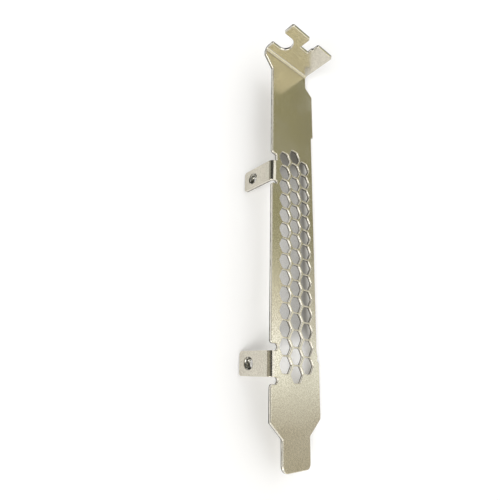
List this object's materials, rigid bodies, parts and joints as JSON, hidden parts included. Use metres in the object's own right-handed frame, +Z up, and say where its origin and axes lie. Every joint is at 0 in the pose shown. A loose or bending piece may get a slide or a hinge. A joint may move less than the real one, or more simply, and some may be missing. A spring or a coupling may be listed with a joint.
{
  "type": "expansion card bracket",
  "caption": "Full-height expansion card bracket folded from plated sheet steel, with a hexagonal vent, a slotted screw flange and threaded tabs for the card.",
  "frame": {"origin": "centre of the footprint, on the surface that the bracket lies on", "axes": "+Y along the strip from its tongue to its flange, +Z up from the surface, +X towards the strip's edge that rests on the surface, away from the tabs"},
  "size_m": [0.0254, 0.12, 0.0218],
  "materials": {
    "plated_steel": "warm satin nickel plate over sheet steel, finely grained, with bright rolled edges round every cut"
  },
  "bodies": {
    "root": {"bracket": "plated_steel"}
  },
  "joints": []
}
